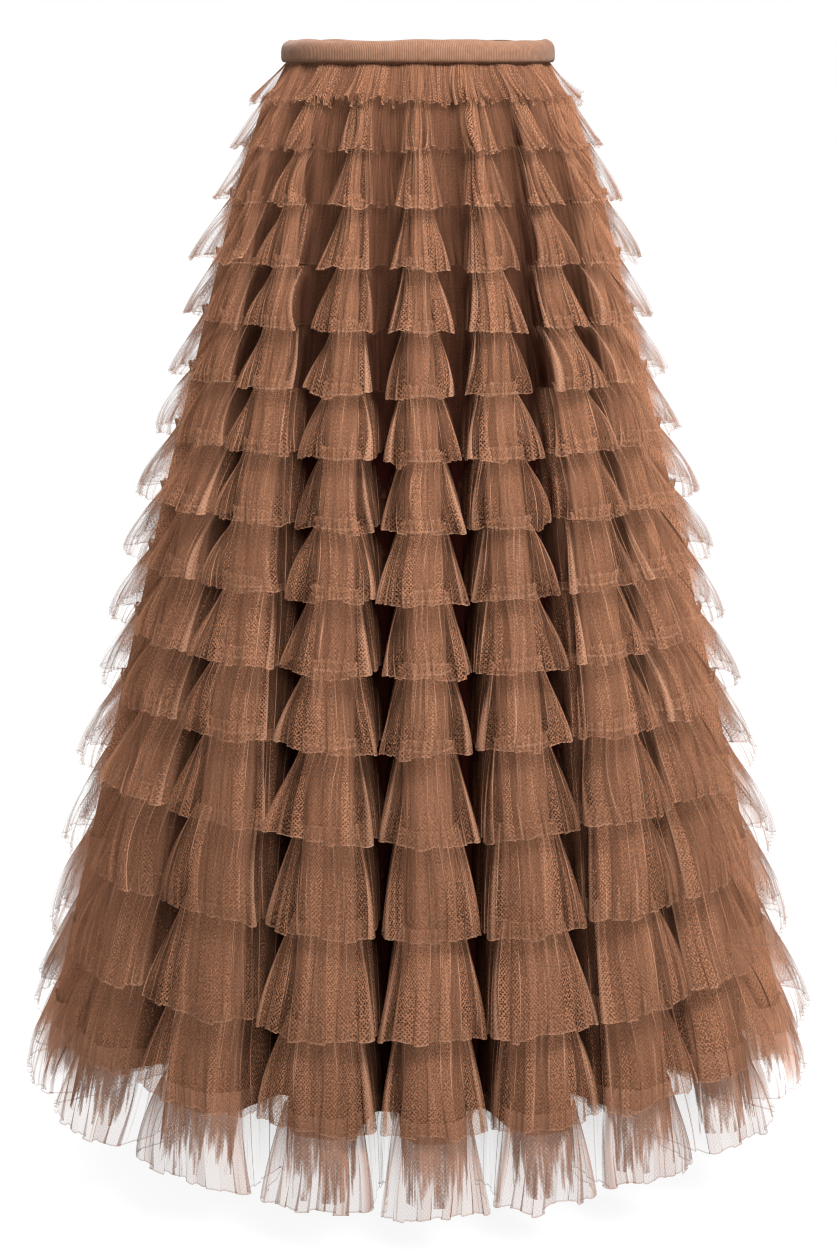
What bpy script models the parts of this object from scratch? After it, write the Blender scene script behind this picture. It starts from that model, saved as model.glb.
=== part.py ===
"""Tiered ruffle skirt of gathered net, standing open and hollow as it is when worn.

A cone of net, the underskirt, hangs from an elastic waistband in fifteen deep
flutes. Sixteen gathered ruffles are sewn round it, one below the other. Each is
narrow where it is stitched to the crest of a flute and wide at its hem, so every
flute carries a column of small bells.

Metres, +Z up, front towards -Y. The origin is the middle of the waist opening,
halfway up the waistband. A drop is a distance below the origin, and an azimuth
is an angle in degrees round the skirt from its front, positive towards +X.
"""

import math
from collections import namedtuple

import bmesh
import bpy

# Waistband: a 20 mm elastic in its casing.
WAIST_WIDTH = 0.250
WAIST_DEPTH = 0.186
BAND_HEIGHT = 0.020
BAND_WALL = 0.0026
BAND_POINTS = 32

# Cloth walls, and how far the pieces stand off each other.
NET_WALL = 0.0013
STITCH_STANDOFF = 0.0030  # a ruffle's gathering line, off the underskirt
FRILL_STANDOFF = 0.0042  # the top edge of the frill above that line
VALLEY_STANDOFF = 0.0130  # a ruffle's hem, off the underskirt between two flutes
MOUTH_GAP = 0.0034  # half of the slit between neighbouring bells at the hem

FRILL_HEIGHT = 0.009
TUCK_HEIGHT = 0.0045  # how far the net goes up behind the waistband
STITCH_BELOW_BAND = 0.001
TOP_STITCH_DROP = BAND_HEIGHT / 2 + STITCH_BELOW_BAND
TUCK_DROP = TOP_STITCH_DROP - TUCK_HEIGHT
MIDDLE_DROP = 0.400
HEM_DROP = 0.981

# Below the hips every level rises a little from the front and back to the sides.
HIP_DROP = 0.200
SIDE_RISE = 0.045  # at the very side, as a share of the height below the hips

# The least that 1 + cos of a corner's turn counts for, where an outline is
# moved out: it keeps the sharpest corners from running to a long point.
SHARPEST_MITRE = 0.4

# The underskirt's crest outline and its flutes. crest_share is the part of a
# flute's pitch that its crest takes up, and turn, in degrees, the most that a
# crest lies nearer to the skirt's side than the mouths of its bells.
Section = namedtuple("Section", "drop half_width half_depth flute_depth crest_share turn")
SECTIONS = (
    Section(TUCK_DROP, 0.1176, 0.0856, 0.0016, 0.46, 0.0),
    Section(TOP_STITCH_DROP, 0.1176, 0.0856, 0.0020, 0.44, 0.0),
    Section(0.050, 0.1430, 0.1130, 0.0085, 0.36, 0.8),
    Section(0.130, 0.1690, 0.1470, 0.0230, 0.36, 1.6),
    Section(MIDDLE_DROP, 0.2340, 0.2275, 0.0535, 0.50, 4.2),
    Section(0.935, 0.3500, 0.3500, 0.0880, 0.71, 2.2),
)

# The flutes fan out a little unevenly from the waistband to the hem. The
# azimuths are those of their bells' mouths, and fullness is how much of its
# pitch a flute's bells fill.
Flute = namedtuple("Flute", "waist_azimuth middle_azimuth hem_azimuth fullness")
FLUTES = (
    Flute(-165.0, -163.0, -163.0, 0.98),
    Flute(-139.0, -132.0, -131.0, 0.96),
    Flute(-113.0, -103.5, -102.0, 0.98),
    Flute(-88.0, -80.0, -78.5, 0.97),
    Flute(-63.5, -57.0, -57.5, 0.97),
    Flute(-42.0, -36.5, -34.0, 1.00),
    Flute(-20.8, -16.2, -13.0, 0.94),
    Flute(-0.3, 1.0, 2.4, 0.97),
    Flute(20.8, 18.1, 18.2, 0.97),
    Flute(39.0, 39.4, 34.2, 0.95),
    Flute(62.0, 58.0, 53.0, 0.96),
    Flute(88.0, 81.0, 76.5, 0.98),
    Flute(115.0, 104.0, 101.0, 0.97),
    Flute(140.0, 131.5, 129.5, 0.96),
    Flute(166.0, 162.0, 161.0, 0.99),
)

# One flute's outline from valley to valley. across runs over the crest from -1
# to 1, beyond takes the point further, into the valley. The last two columns
# are the share of the flute's depth that it lies in, where the net is gathered
# and at the open mouth of a bell.
Station = namedtuple("Station", "across beyond gathered open")
STATIONS = (
    Station(-1.00, 0.32, 1.00, 1.00),
    Station(-1.00, 0.00, 0.28, 0.13),
    Station(-0.52, 0.00, 0.00, 0.00),
    Station(0.52, 0.00, 0.00, 0.00),
    Station(1.00, 0.00, 0.28, 0.13),
    Station(1.00, 0.32, 1.00, 1.00),
)

# What a ruffle has above its stitch line, as a height and a stand-off from the
# underskirt: the first is tucked behind the waistband, the others stand up as a
# small frill, and the lowest are sewn on by their very edge.
Heading = namedtuple("Heading", "height standoff")
TUCKED = Heading(TUCK_HEIGHT, STITCH_STANDOFF)
FRILL = Heading(FRILL_HEIGHT, FRILL_STANDOFF)
NO_HEADING = None

# The ruffles from the top down. flare is how far the hem stands out from the
# crest, and mouth_share the part of the pitch that a bell's mouth fills.
Ruffle = namedtuple("Ruffle", "stitch_drop hem_drop flare mouth_share heading")
RUFFLES = (
    Ruffle(TOP_STITCH_DROP, 0.0435, 0.0170, 0.56, TUCKED),
    Ruffle(0.0400, 0.0860, 0.0155, 0.62, NO_HEADING),
    Ruffle(0.0825, 0.1325, 0.0180, 0.68, NO_HEADING),
    Ruffle(0.1335, 0.1860, 0.0230, 0.76, FRILL),
    Ruffle(0.1870, 0.2400, 0.0205, 0.80, FRILL),
    Ruffle(0.2410, 0.2940, 0.0210, 0.86, FRILL),
    Ruffle(0.2950, 0.3490, 0.0215, 0.92, FRILL),
    Ruffle(0.3500, 0.4085, 0.0240, 0.96, FRILL),
    Ruffle(0.4095, 0.4670, 0.0265, 1.00, FRILL),
    Ruffle(0.4680, 0.5290, 0.0265, 1.00, FRILL),
    Ruffle(0.5300, 0.5940, 0.0280, 1.00, FRILL),
    Ruffle(0.5950, 0.6680, 0.0270, 1.00, FRILL),
    Ruffle(0.6620, 0.7500, 0.0255, 1.00, NO_HEADING),
    Ruffle(0.7440, 0.8340, 0.0245, 1.00, NO_HEADING),
    Ruffle(0.8280, 0.9140, 0.0240, 1.00, NO_HEADING),
    Ruffle(0.9060, HEM_DROP, 0.0130, 0.92, NO_HEADING),
)

# The band's outline from the top down: its soft top edge rolls in.
BandRow = namedtuple("BandRow", "height roll_in")
BAND_ROWS = (
    BandRow(BAND_HEIGHT / 2, 0.0050),
    BandRow(BAND_HEIGHT / 4, 0.0010),
    BandRow(-BAND_HEIGHT / 2, 0.0000),
)

Finish = namedtuple("Finish", "name colour roughness")
NET = Finish("camel_net", (0.42, 0.21, 0.125), 0.85)
BAND = Finish("waistband_elastic", (0.46, 0.25, 0.16), 0.80)
UNDERSKIRT = Finish("underskirt_net", (0.30, 0.14, 0.08), 0.90)


def mix(a, b, share):
    return a + (b - a) * share


def sections_around(drop):
    """The two rows of SECTIONS that a drop lies between, and how far along it is from the first."""
    above, below = SECTIONS[-2:]
    for first, second in zip(SECTIONS, SECTIONS[1:]):
        if drop <= second.drop:
            above, below = first, second
            break
    return above, below, (drop - above.drop) / (below.drop - above.drop)


def section_at(drop):
    above, below, share = sections_around(drop)
    return Section(*(mix(a, b, share) for a, b in zip(above, below)))


def mouth_azimuth(flute, drop):
    if drop < MIDDLE_DROP:
        degrees = mix(flute.waist_azimuth, flute.middle_azimuth, drop / MIDDLE_DROP)
    else:
        share = (drop - MIDDLE_DROP) / (HEM_DROP - MIDDLE_DROP)
        degrees = mix(flute.middle_azimuth, flute.hem_azimuth, share)
    return math.radians(degrees)


def height_at(drop, azimuth):
    rise = SIDE_RISE * max(0.0, drop - HIP_DROP)
    return rise * math.sin(azimuth) ** 2 - drop


def half_pitches(azimuths):
    """For each flute, the angles from its crest to the valleys on its two sides."""
    full_turn = 2 * math.pi
    count = len(azimuths)
    gaps = [(azimuths[(i + 1) % count] - azimuths[i]) % full_turn for i in range(count)]
    return [(gaps[i - 1] / 2, gaps[i] / 2) for i in range(count)]


def station_azimuths(crests, share, radius):
    """The azimuth of every station of every flute, for crests at those azimuths."""
    azimuths = []
    for crest, sides, flute in zip(crests, half_pitches(crests), FLUTES):
        for station in STATIONS:
            side = sides[0] if station.across < 0 else sides[1]
            filled = min(share * flute.fullness, 1 - MOUTH_GAP / (side * radius))
            across = station.across * filled
            across += math.copysign(station.beyond * (1 - filled), station.across)
            azimuths.append(crest + across * side)
    return azimuths


def fluted_ring(drop, share, depth, grow=0.0, inward="gathered"):
    """One outline of the skirt, as (x, y, z) points counter-clockwise from above.

    share is the part of each pitch that the crest fills, depth how deep the
    flutes are, grow how far the crests stand outside the underskirt's, and
    inward the column of STATIONS that shapes the flutes. A gathered outline
    follows the underskirt's crests. An open one has its mouths at their own
    azimuths, and comes back to the underskirt's in the valleys.
    """
    section = section_at(drop)
    mouths = [mouth_azimuth(flute, drop) for flute in FLUTES]
    crests = [mouth + math.radians(section.turn) * math.sin(2 * mouth) for mouth in mouths]
    radius = section.half_width + grow
    points = []
    for station, at_mouth, at_crest in zip(
        STATIONS * len(FLUTES),
        station_azimuths(mouths, share, radius),
        station_azimuths(crests, share, radius),
    ):
        inset = getattr(station, inward)
        azimuth = at_crest if inward == "gathered" else mix(at_mouth, at_crest, inset)
        out = grow - inset * depth
        points.append(
            (
                (section.half_width + out) * math.sin(azimuth),
                -(section.half_depth + out) * math.cos(azimuth),
                height_at(drop, azimuth),
            )
        )
    return points


def moved_out(ring, distance):
    """The ring moved off itself by an even distance, outwards, each point at its own height."""
    moved = []
    for i, (x, y, z) in enumerate(ring):
        before, after = ring[i - 1], ring[(i + 1) % len(ring)]
        normals = []
        for start, end in ((before, (x, y)), ((x, y), after)):
            run, rise = end[0] - start[0], end[1] - start[1]
            length = math.hypot(run, rise)
            normals.append((rise / length, -run / length))
        (ax, ay), (bx, by) = normals
        reach = distance / max(1 + ax * bx + ay * by, SHARPEST_MITRE)
        moved.append((x + (ax + bx) * reach, y + (ay + by) * reach, z))
    return moved


def underskirt_ring(drop):
    """The underskirt's outline, which runs straight from each section to the next."""
    above, below, share = sections_around(drop)
    rings = [fluted_ring(row.drop, row.crest_share, row.flute_depth) for row in (above, below)]
    return [tuple(mix(a, b, share) for a, b in zip(*ends)) for ends in zip(*rings)]


def ruffle_rings(ruffle):
    """A ruffle's rings from its top edge to its hem."""
    rings = []
    if ruffle.heading:
        top = underskirt_ring(ruffle.stitch_drop - ruffle.heading.height)
        rings.append(moved_out(top, ruffle.heading.standoff))
    rings.append(moved_out(underskirt_ring(ruffle.stitch_drop), STITCH_STANDOFF))
    at_hem = section_at(ruffle.hem_drop)
    rings.append(
        fluted_ring(
            ruffle.hem_drop,
            share=ruffle.mouth_share,
            depth=at_hem.flute_depth + ruffle.flare - VALLEY_STANDOFF,
            grow=ruffle.flare,
            inward="open",
        )
    )
    return rings


def band_rings():
    rings = []
    for row in BAND_ROWS:
        half_width = WAIST_WIDTH / 2 - row.roll_in - BAND_WALL / 2
        half_depth = WAIST_DEPTH / 2 - row.roll_in - BAND_WALL / 2
        turns = [2 * math.pi * i / BAND_POINTS for i in range(BAND_POINTS)]
        rings.append(
            [
                (half_width * math.sin(turn), -half_depth * math.cos(turn), row.height)
                for turn in turns
            ]
        )
    return rings


def material_of(finish):
    material = bpy.data.materials.new(finish.name)
    material.use_nodes = True
    shader = material.node_tree.nodes["Principled BSDF"]
    shader.inputs["Base Color"].default_value = (*finish.colour, 1.0)
    shader.inputs["Roughness"].default_value = finish.roughness
    shader.inputs["Metallic"].default_value = 0.0
    return material


def cloth_tube(name, rings, wall, material):
    """An open tube of cloth through the rings, top to bottom, thickened to a closed wall."""
    sheet = bmesh.new()
    rows = [[sheet.verts.new(point) for point in ring] for ring in rings]
    count = len(rows[0])
    for upper, lower in zip(rows, rows[1:]):
        for i in range(count):
            j = (i + 1) % count
            # Each flute's two flanks are cut along mirrored diagonals.
            if i % len(STATIONS) < len(STATIONS) // 2:
                sheet.faces.new((upper[i], lower[i], upper[j]))
                sheet.faces.new((upper[j], lower[i], lower[j]))
            else:
                sheet.faces.new((upper[i], lower[i], lower[j]))
                sheet.faces.new((upper[i], lower[j], upper[j]))
    mesh = bpy.data.meshes.new(name)
    sheet.to_mesh(mesh)
    sheet.free()
    mesh.materials.append(material)
    tube = bpy.data.objects.new(name, mesh)
    bpy.context.scene.collection.objects.link(tube)
    thicken = tube.modifiers.new("wall", "SOLIDIFY")
    thicken.thickness = wall
    thicken.offset = 0.0
    thicken.use_even_offset = True
    return tube


def build_waistband(material):
    band = cloth_tube("waistband", band_rings(), BAND_WALL, material)
    band.data.shade_smooth()


def build_underskirt(material):
    rings = [underskirt_ring(section.drop) for section in SECTIONS]
    cloth_tube("underskirt", rings, NET_WALL, material)


def build_ruffles(material):
    for number, ruffle in enumerate(RUFFLES, start=1):
        cloth_tube(f"ruffle_{number:02d}", ruffle_rings(ruffle), NET_WALL, material)


def main():
    for leftover in list(bpy.data.objects):
        bpy.data.objects.remove(leftover, do_unlink=True)
    build_waistband(material_of(BAND))
    build_underskirt(material_of(UNDERSKIRT))
    build_ruffles(material_of(NET))


main()
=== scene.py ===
"""Looks of a tiered ruffle skirt of soft net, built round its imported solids.

A ribbed elastic waistband carries a fluted underskirt of several layers of net. Sixteen
gathered ruffles are sewn round it, and each falls over every flute in a small bell.

Metres, +Z up, front towards -Y, the origin in the middle of the waist opening. A drop is a
distance below the origin, and an azimuth an angle round the skirt from its front, positive
towards +X. Cloth is a grid of levels from the top down by columns round the skirt.
"""

import logging
import math
from collections.abc import Iterator
from dataclasses import dataclass
from enum import Enum

import bpy
import numpy as np
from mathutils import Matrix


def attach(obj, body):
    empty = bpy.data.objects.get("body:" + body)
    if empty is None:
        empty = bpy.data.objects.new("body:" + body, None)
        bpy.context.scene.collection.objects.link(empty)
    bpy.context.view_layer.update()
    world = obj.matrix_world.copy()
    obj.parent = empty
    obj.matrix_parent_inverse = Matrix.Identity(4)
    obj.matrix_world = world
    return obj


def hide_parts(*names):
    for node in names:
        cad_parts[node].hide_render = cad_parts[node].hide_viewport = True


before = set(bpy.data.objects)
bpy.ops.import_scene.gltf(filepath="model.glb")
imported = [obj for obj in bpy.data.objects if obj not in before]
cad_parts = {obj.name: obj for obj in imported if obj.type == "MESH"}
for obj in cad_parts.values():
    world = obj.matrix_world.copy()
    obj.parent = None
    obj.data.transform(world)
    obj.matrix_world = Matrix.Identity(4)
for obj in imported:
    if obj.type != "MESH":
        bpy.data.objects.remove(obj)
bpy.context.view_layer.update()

LOG = logging.getLogger("ruffle_skirt")
SEED = 11
BODY = "root"


# ---------------------------------------------------------------- the skirt's form


@dataclass(frozen=True)
class Section:
    """One level of the underskirt: its crest outline and the flutes in it.

    Attributes:
        drop: The level.
        half_width: The crests' half width.
        half_depth: The crests' half depth, front to back.
        flute_depth: How deep the flutes are.
        crest_share: The part of a flute's pitch that its crest takes up.
        turn: The most that a crest lies nearer to the side than its bells' mouths, in degrees.
    """

    drop: float
    half_width: float
    half_depth: float
    flute_depth: float
    crest_share: float
    turn: float


@dataclass(frozen=True)
class Flute:
    """One flute's bells: their mouths' azimuths from waist to hem, and how full they are."""

    waist: float
    middle: float
    hem: float
    fullness: float


@dataclass(frozen=True)
class Station:
    """A corner of a flute's outline, between its crest and a valley.

    Attributes:
        across: How far it lies over the crest, as a share of the crest's half width.
        beyond: How far past the crest, as a share of the way to the valley.
        gathered: How far in it lies where the net is gathered, as a share of the flute's depth.
        open: How far in it lies where the net is open as a bell.
    """

    across: float
    beyond: float
    gathered: float
    open: float


class Mouth(Enum):
    """How a flute's outline is drawn: pulled in by gathers, or open as a bell."""

    GATHERED = "gathered"
    OPEN = "open"


@dataclass(frozen=True)
class SkirtForm:
    """The fluted cone that all the cloth follows.

    Attributes:
        sections: The levels from the waist down.
        flutes: The flutes in order of azimuth.
        stations: A half flute's corners from its crest to the valley.
        middle_drop: The level of the flutes' middle azimuths.
        hem_drop: The level of their hem azimuths.
        mouth_gap: Half of the slit between neighbouring bells.
        hip_drop: Below this, every level rises from the front and back to the sides.
        side_rise: How much, at the very side, as a share of the height below the hips.
    """

    sections: tuple[Section, ...]
    flutes: tuple[Flute, ...]
    stations: tuple[Station, ...]
    middle_drop: float = 0.400
    hem_drop: float = 0.981
    mouth_gap: float = 0.0034
    hip_drop: float = 0.200
    side_rise: float = 0.045

    def size_at(self, name: str, drop: float) -> float:
        """A section's size at any drop.

        Args:
            name: The field of Section.
            drop: The level.

        Returns:
            The size, on a straight line between the sections.
        """
        drops = [section.drop for section in self.sections]
        return float(np.interp(drop, drops, [getattr(s, name) for s in self.sections]))

    def mouths(self, drop: float) -> np.ndarray:
        """The azimuths of the bells' mouths at a drop, in radians."""
        levels = (0.0, self.middle_drop, self.hem_drop)
        turns = [np.interp(drop, levels, (f.waist, f.middle, f.hem)) for f in self.flutes]
        return np.radians(turns)

    def heights(self, level: np.ndarray, drop: float) -> np.ndarray:
        """How high the points of a level lie.

        Args:
            level: Points by (x, y).
            drop: Their drop at the front.

        Returns:
            The height of each point.
        """
        to_side = level[:, 0] ** 2 / np.maximum((level**2).sum(axis=1), 1e-9)
        return self.side_rise * max(0.0, drop - self.hip_drop) * to_side - drop

    def azimuths(self, crests: np.ndarray, share: float, radius: float) -> np.ndarray:
        """The azimuths of every corner of every flute.

        Args:
            crests: The middles of the flutes, in radians.
            share: The part of each pitch that the crest fills.
            radius: The outline's radius, for the slit between two bells.

        Returns:
            An array of flutes by corners, from valley to valley.
        """
        gaps = (np.roll(crests, -1) - crests) % math.tau
        fullness = np.array([flute.fullness for flute in self.flutes])
        across = np.array([station.across for station in self.stations])
        beyond = np.array([station.beyond for station in self.stations])
        halves = []
        for side in (np.roll(gaps, 1) / 2, gaps / 2):
            filled = np.minimum(share * fullness, 1 - self.mouth_gap / (side * radius))[:, None]
            halves.append((across * filled + beyond * (1 - filled)) * side[:, None])
        return crests[:, None] + np.hstack([-halves[0][:, ::-1], halves[1]])

    def corners(
        self, drop: float, share: float, depth: float, grow: float, mouth: Mouth
    ) -> np.ndarray:
        """The corners of one level outline, flute by flute.

        Args:
            drop: The level.
            share: The part of each pitch that the crest fills.
            depth: How deep the flutes are.
            grow: How far the crests stand outside the underskirt's.
            mouth: Which column of the stations shapes the flutes.

        Returns:
            An array of flutes by corners by (x, y), from valley to valley.
        """
        half_width = self.size_at("half_width", drop)
        half_depth = self.size_at("half_depth", drop)
        mouths = self.mouths(drop)
        crests = mouths + math.radians(self.size_at("turn", drop)) * np.sin(2 * mouths)
        azimuths = self.azimuths(crests, share, half_width + grow)
        inset = np.array([getattr(station, mouth.value) for station in self.stations])
        inset = np.concatenate([inset[::-1], inset])
        if mouth is Mouth.OPEN:
            # An open bell comes back to the underskirt's azimuths in the valleys.
            at_mouth = self.azimuths(mouths, share, half_width + grow)
            azimuths = at_mouth + (azimuths - at_mouth) * inset
        out = grow - inset * depth
        x = (half_width + out) * np.sin(azimuths)
        y = -(half_depth + out) * np.cos(azimuths)
        return np.stack([x, y], axis=-1)

    def underskirt_corners(self, drop: float) -> np.ndarray:
        """The underskirt's corners, straight from each section to the next.

        Args:
            drop: The level.

        Returns:
            An array of flutes by corners by (x, y), from valley to valley.
        """
        above, below = self.sections[-2:]
        for first, second in zip(self.sections, self.sections[1:]):
            if drop <= second.drop:
                above, below = first, second
                break
        share = (drop - above.drop) / (below.drop - above.drop)
        rings = [
            self.corners(s.drop, s.crest_share, s.flute_depth, 0.0, Mouth.GATHERED)
            for s in (above, below)
        ]
        return rings[0] + (rings[1] - rings[0]) * share

    def depth_at(self, level: np.ndarray, drop: float) -> np.ndarray:
        """How deep in the flutes some points lie: 0 on the crests, 1 in the valleys.

        Args:
            level: Points by (x, y).
            drop: Their level.

        Returns:
            The share of the flutes' depth at each point.
        """
        half_width = self.size_at("half_width", drop)
        half_depth = self.size_at("half_depth", drop)
        out = np.hypot(level[:, 0] / half_width, level[:, 1] / half_depth)
        return (1 - out) * half_width / self.size_at("flute_depth", drop)


# ---------------------------------------------------------------- folds


@dataclass(frozen=True)
class FoldPlan:
    """How the net of one flute is folded, from valley to valley.

    Attributes:
        front_folds: Folds over the crest, which show.
        wall_folds: Folds on each of the two flanks.
        front_share: The half flute's share of cloth that lies on the crest.
        uneven: How much the folds differ in width.
        front_points: Points across a fold on the crest.
        wall_points: Points across a fold on a flank.
        gathers: Fine gathers to each fold, at the stitch line.
        crowding: How far the points crowd where a fold doubles back, as a share of it.
        front_fade: How much cloth past the crest the folds need to lie down, as a share.
    """

    front_folds: int
    wall_folds: int
    front_share: float
    uneven: float
    front_points: int
    wall_points: int
    gathers: float
    crowding: float = 0.030
    front_fade: float = 0.12


class FoldedRing:
    """The cloth's columns all round the skirt, each with its place in a fold.

    Attributes:
        reach: Each column's place from its crest (0) to a valley (-1 or 1).
        flute: Each column's flute.
        folds: The number of folds all round.
        fold: Each column's fold, counted all round.
        phase: Each column's place in its fold, from 0 to 1.
        panel: Each column's panel, from one fold edge to the next, counted all round.
        gather: Each column's place in the fine gathers, in gathers.
        front: 1 on the crests, falling to 0 on the flanks.
        wave: 1 in the middle of a fold and 0 at its ends.
    """

    def __init__(self, plan: FoldPlan, flutes: int, rng: np.random.Generator) -> None:
        """Lays the folds out.

        Args:
            plan: The folds of one flute.
            flutes: The number of flutes.
            rng: The source of their unevenness.
        """
        reach, flute, fold, phase = [], [], [], []
        self.folds = 0
        walls, fronts = plan.wall_folds, plan.front_folds
        for i in range(flutes):
            ends = [-1.0]
            for folds, start, end in (
                (walls, -1.0, -plan.front_share),
                (fronts, -plan.front_share, plan.front_share),
                (walls, plan.front_share, 1.0),
            ):
                widths = 1 + plan.uneven * rng.uniform(-1, 1, folds)
                ends += list(start + (end - start) * np.cumsum(widths) / widths.sum())
            for k in range(len(ends) - 1):
                on_front = walls <= k < walls + fronts
                points = plan.front_points if on_front else plan.wall_points
                steps = np.arange(points) / points
                places = steps - plan.crowding * np.sin(2 * math.tau * steps)
                reach += list(ends[k] + (ends[k + 1] - ends[k]) * places)
                phase += list(places)
                fold += [self.folds] * points
                flute += [i] * points
                self.folds += 1
        self.reach = np.array(reach)
        self.flute = np.array(flute)
        self.fold = np.array(fold)
        self.phase = np.array(phase)
        panel = np.floor(2 * (self.fold + self.phase) + 0.5).astype(int)
        self.panel = panel % (2 * self.folds)
        self.gather = (self.fold + self.phase) * plan.gathers
        self.front = 1 - ramp(np.abs(self.reach), plan.front_share, plan.front_fade)
        self.wave = 0.5 - 0.5 * np.cos(math.tau * self.phase)

    def halves(self, corners: np.ndarray) -> Iterator[tuple[np.ndarray, np.ndarray, np.ndarray]]:
        """Goes through the halves of an outline's flutes, each from its crest to a valley.

        Args:
            corners: Flutes by corners by (x, y).

        Yields:
            Which columns lie on the half, its corners, and the lengths between them.
        """
        middle = corners.shape[1] // 2
        crest = (corners[:, middle - 1] + corners[:, middle]) / 2
        valley = (corners[:, -1] + np.roll(corners[:, 0], -1, axis=0)) / 2
        for i in range(len(corners)):
            right = np.vstack([crest[i], corners[i, middle:], valley[i]])
            left = np.vstack([crest[i], corners[i, middle - 1 :: -1], valley[i - 1]])
            for path, on_left in ((left, True), (right, False)):
                mine = (self.flute == i) & ((self.reach < 0) == on_left)
                yield mine, path, np.hypot(*np.diff(path, axis=0).T)

    def lay(self, corners: np.ndarray, round_off: float) -> np.ndarray:
        """Runs the columns along an outline, each at its share of the cloth.

        Args:
            corners: Flutes by corners by (x, y).
            round_off: How far a corner is rounded, in columns.

        Returns:
            Columns by (x, y).
        """
        laid = np.zeros((len(self.reach), 2))
        for mine, path, lengths in self.halves(corners):
            along = np.concatenate([[0], np.cumsum(lengths)]) / lengths.sum()
            for axis in (0, 1):
                laid[mine, axis] = np.interp(np.abs(self.reach[mine]), along, path[:, axis])
        return smoothed(laid, round_off)

    def past_corner(self, corners: np.ndarray) -> np.ndarray:
        """How far each column lies past the corner where a crest turns into its flank.

        Args:
            corners: Flutes by corners by (x, y).

        Returns:
            Metres along the cloth, negative on the crest.
        """
        past = np.zeros(len(self.reach))
        for mine, _, lengths in self.halves(corners):
            past[mine] = np.abs(self.reach[mine]) * lengths.sum() - lengths[:2].sum()
        return past


def ramp(
    value: np.ndarray | float, start: np.ndarray | float, over: np.ndarray | float
) -> np.ndarray:
    """0 up to a start, and from there straight up to 1.

    Args:
        value: Where it is asked for.
        start: Where it starts to rise.
        over: How long it takes to rise. Below 0, it rises towards smaller values.

    Returns:
        A number from 0 to 1 for each value.
    """
    return np.clip((value - start) / over, 0, 1)


def smoothed(ring: np.ndarray, width: float) -> np.ndarray:
    """A closed row of numbers or points with its corners rounded off.

    Args:
        ring: The row, with one point to each line.
        width: The rounding, in points.

    Returns:
        The rounded row.
    """
    reach = int(3 * width) + 1
    steps = np.arange(-reach, reach + 1)
    weights = np.exp(-0.5 * (steps / width) ** 2)
    weights /= weights.sum()
    return sum(w * np.roll(ring, s, axis=0) for w, s in zip(weights, steps))


def outward(ring: np.ndarray) -> tuple[np.ndarray, np.ndarray]:
    """The directions along and out of a closed row of points.

    Args:
        ring: Points by (x, y), counter-clockwise.

    Returns:
        Unit tangents and unit outward normals.
    """
    along = np.roll(ring, -1, axis=0) - np.roll(ring, 1, axis=0)
    along /= np.maximum(np.linalg.norm(along, axis=1), 1e-9)[:, None]
    return along, np.stack([along[:, 1], -along[:, 0]], axis=1)


def edge_shade(depth: np.ndarray) -> np.ndarray:
    """Painted valley shade at some depths, from 0 to 1, which sets in sharply where the underskirt
    turns in.
    """
    return ramp(depth, 0.27, 0.06)


def beside(level: np.ndarray) -> np.ndarray:
    """1 at the very sides of the skirt, for each point of a level, and 0 well off them."""
    return ramp(np.abs(level[:, 0]) / np.linalg.norm(level, axis=1), 0.84, 0.07)


# ---------------------------------------------------------------- meshes


def cloth_mesh(
    name: str,
    grid: np.ndarray,
    flute: np.ndarray,
    values: dict[str, np.ndarray],
    second: np.ndarray | None = None,
) -> bpy.types.Object:
    """An open tube of cloth through a grid of points.

    Args:
        name: The piece's name.
        grid: Levels by columns by (x, y, z), from the top down and counter-clockwise.
        flute: Each column's flute, which gives it a tile of the baking map.
        values: Numbers for the material to read, levels by columns each.
        second: Which points lie where the second material starts, levels by columns.

    Returns:
        The new object, linked to the scene.
    """
    rows, columns = grid.shape[:2]
    number = np.arange(rows * columns).reshape(rows, columns)
    after = np.roll(number, -1, axis=1)
    quads = np.stack([number[:-1], number[1:], after[1:], after[:-1]], axis=-1)
    mesh = bpy.data.meshes.new(name)
    mesh.from_pydata(grid.reshape(-1, 3).tolist(), [], quads.reshape(-1, 4).tolist())
    if second is not None:
        slots = second[:-1] & np.roll(second, -1, axis=1)[:-1]
        mesh.polygons.foreach_set("material_index", slots.astype(np.int32).ravel())
    for key, value in values.items():
        attribute = mesh.attributes.new(key, "FLOAT", "POINT")
        attribute.data.foreach_set("value", value.astype(np.float32).ravel())

    # The cloth's own measure, in metres, for the net's pattern.
    step = np.linalg.norm(np.roll(grid, -1, axis=1) - grid, axis=2).mean(axis=0)
    fall = np.linalg.norm(np.diff(grid, axis=0), axis=2).mean(axis=1)
    across = np.concatenate([[0], np.cumsum(step)])
    down = np.concatenate([[0], np.cumsum(fall)])
    lay_map(mesh, "cloth", (across[:-1], across[1:]), np.zeros(columns), -down)

    # One tile for each flute, for baking, with a margin all round.
    margin = 0.02
    used = 1 - 2 * margin
    tiles = math.ceil(math.sqrt(flute.max() + 1))
    first = np.searchsorted(flute, flute, side="left")
    last = np.searchsorted(flute, flute, side="right")
    place = (np.arange(columns) - first) / (last - first)
    starts = (flute % tiles + margin + used * place) / tiles
    ends = (flute % tiles + margin + used * (place + 1 / (last - first))) / tiles
    base = (flute // tiles + margin) / tiles
    lay_map(mesh, "OFBake", (starts, ends), base, down / down[-1] * (used / tiles))

    mesh.shade_smooth()
    cloth = bpy.data.objects.new(name, mesh)
    bpy.context.scene.collection.objects.link(cloth)
    return cloth


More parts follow.
